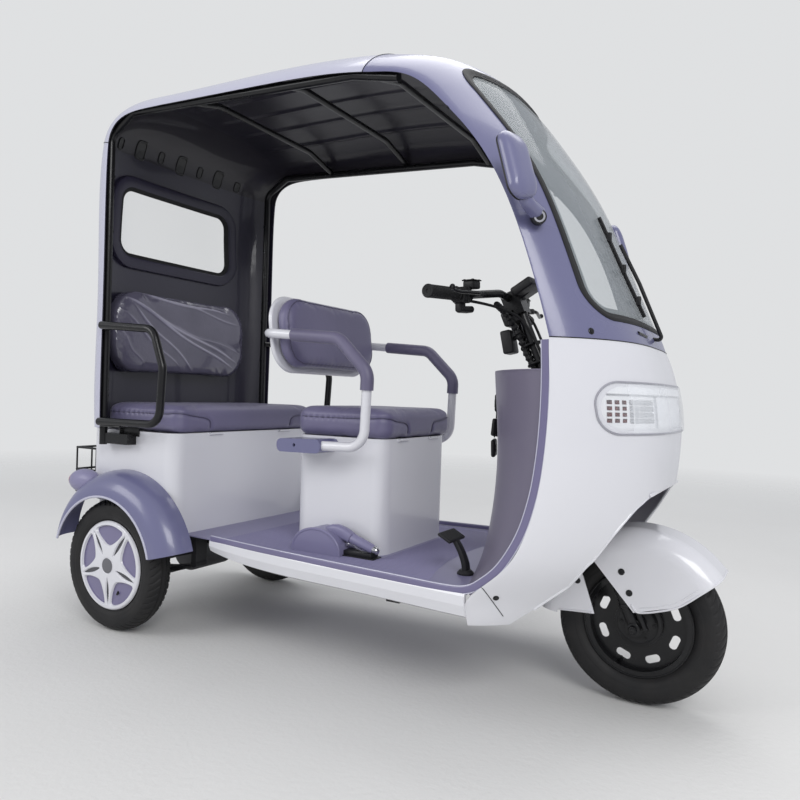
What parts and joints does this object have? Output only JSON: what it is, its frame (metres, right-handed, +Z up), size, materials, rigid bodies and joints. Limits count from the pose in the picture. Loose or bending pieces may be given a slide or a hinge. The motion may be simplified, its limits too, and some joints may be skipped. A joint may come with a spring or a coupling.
{
  "type": "auto rickshaw",
  "caption": "Electric passenger tricycle with a roofed open cab, a driver's seat over a battery box and a rear bench over a storage box.",
  "frame": {"origin": "on the ground under the middle of the vehicle's length and width", "axes": "+X forward, +Y to the vehicle's left, +Z up"},
  "size_m": [2.19, 1.0568, 1.7717],
  "materials": {
    "frame_black": "gloss",
    "axle_black": "satin",
    "motor_grey": "as cast",
    "battery_grey": "matte",
    "floor_lilac": "ribbed",
    "body_white": "gloss",
    "lamp_clear": "clear",
    "panel_lilac": "gloss",
    "window_glass": "clear",
    "trim_black": "matte",
    "roof_white": "gloss",
    "panel_purple": "gloss",
    "tube_white": "gloss",
    "sleeve_purple": "soft",
    "seat_purple": "soft",
    "fender_lilac": "gloss",
    "lamp_red": "gloss",
    "grip_rubber": "matte",
    "cable_black": "satin",
    "tyre_black": "matte",
    "rim_black": "gloss",
    "cover_white": "gloss"
  },
  "bodies": {
    "chassis": {"main_frame": "frame_black", "steering_head": "frame_black", "rear_axle": "axle_black", "drive_motor": "motor_grey", "leaf_springs": "axle_black", "battery_pack": "battery_grey", "floor_pan": "floor_lilac", "side_skirts": "body_white", "nose_panel": "body_white", "headlamp_lens": "lamp_clear", "headlamp_bowl": "trim_black", "leg_shield": "panel_lilac", "windshield_frame": "panel_lilac", "windshield_glass": "window_glass", "wiper": "trim_black", "mirrors": "trim_black", "roof_panel": "roof_white", "rear_panel": "panel_purple", "rear_window": "window_glass", "cab_frame": "frame_black", "driver_box": "body_white", "armrest_tubes": "tube_white", "armrest_brackets": "panel_lilac", "armrest_sleeves": "sleeve_purple", "driver_backrest": "seat_purple", "driver_back_shell": "body_white", "passenger_box": "body_white", "wheel_well_liners": "body_white", "passenger_backrest": "seat_purple", "grab_rails": "frame_black", "rear_fender_right": "fender_lilac", "rear_fender_left": "fender_lilac", "tail_lamps": "lamp_red", "rear_basket": "frame_black", "parking_brake": "panel_lilac", "brake_pedal": "frame_black"},
    "steering": {"fork": "frame_black", "front_fender": "body_white", "handlebar": "frame_black", "grips": "grip_rubber", "hand_controls": "trim_black", "control_cables": "cable_black"},
    "front_wheel": {"front_tyre": "tyre_black", "front_rim": "rim_black"},
    "rear_wheel_right": {"rear_tyre_right": "tyre_black", "rear_rim_right": "rim_black", "wheel_cover_right": "cover_white"},
    "rear_wheel_left": {"rear_tyre_left": "tyre_black", "rear_rim_left": "rim_black", "wheel_cover_left": "cover_white"},
    "driver_seat": {"driver_cushion": "seat_purple"},
    "passenger_seat": {"passenger_cushion": "seat_purple"}
  },
  "joints": [
    {"name": "steering", "type": "hinge", "parent": "chassis", "child": "steering", "pos_m": [0.8825, 0, 0.2125], "axis": [-0.3972, 0, 0.9178], "range_deg": [-40, 40]},
    {"name": "front_wheel_spin", "type": "hinge", "parent": "steering", "child": "front_wheel", "pos_m": [0.8825, 0, 0.2125], "axis": [0, 1, 0], "continuous": true},
    {"name": "rear_right_spin", "type": "hinge", "parent": "chassis", "child": "rear_wheel_right", "pos_m": [-0.6875, -0.382, 0.2125], "axis": [0, 1, 0], "continuous": true},
    {"name": "rear_left_spin", "type": "hinge", "parent": "chassis", "child": "rear_wheel_left", "pos_m": [-0.6875, 0.382, 0.2125], "axis": [0, 1, 0], "continuous": true},
    {"name": "driver_seat_lid", "type": "hinge", "parent": "chassis", "child": "driver_seat", "pos_m": [0.2045, 0, 0.656], "axis": [0, 1, 0], "range_deg": [0, 70]},
    {"name": "passenger_seat_lid", "type": "hinge", "parent": "chassis", "child": "passenger_seat", "pos_m": [-0.4695, 0, 0.641], "axis": [0, 1, 0], "range_deg": [0, 70]}
  ]
}
